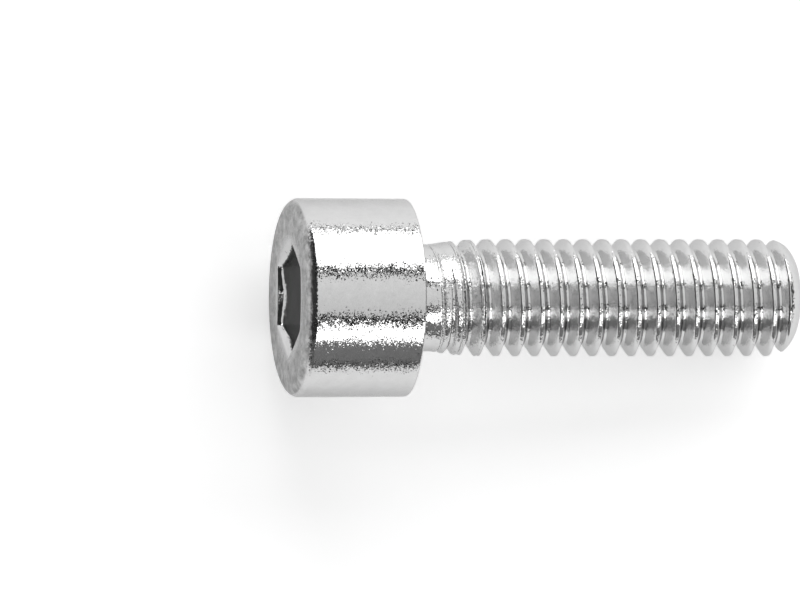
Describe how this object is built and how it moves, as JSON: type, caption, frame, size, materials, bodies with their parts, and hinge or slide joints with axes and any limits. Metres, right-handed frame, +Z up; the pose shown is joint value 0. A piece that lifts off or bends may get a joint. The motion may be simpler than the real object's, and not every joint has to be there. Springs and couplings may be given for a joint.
{
  "type": "socket head cap screw",
  "caption": "Steel screw with a cylindrical head, a hexagon socket for a key and a coarse right-hand thread along the shank.",
  "frame": {"origin": "under the middle of the lying screw's box, on the surface it rests on", "axes": "+X from the head towards the tip, +Z up; the screw's axis slopes down 6.1 degrees towards the tip, because the wider head lifts that end"},
  "size_m": [0.0266, 0.01, 0.0105],
  "materials": {
    "zinc_plated_steel": "bright zinc plating over rolled steel, slightly grained"
  },
  "bodies": {
    "root": {"cap_screw": "zinc_plated_steel"}
  },
  "joints": []
}
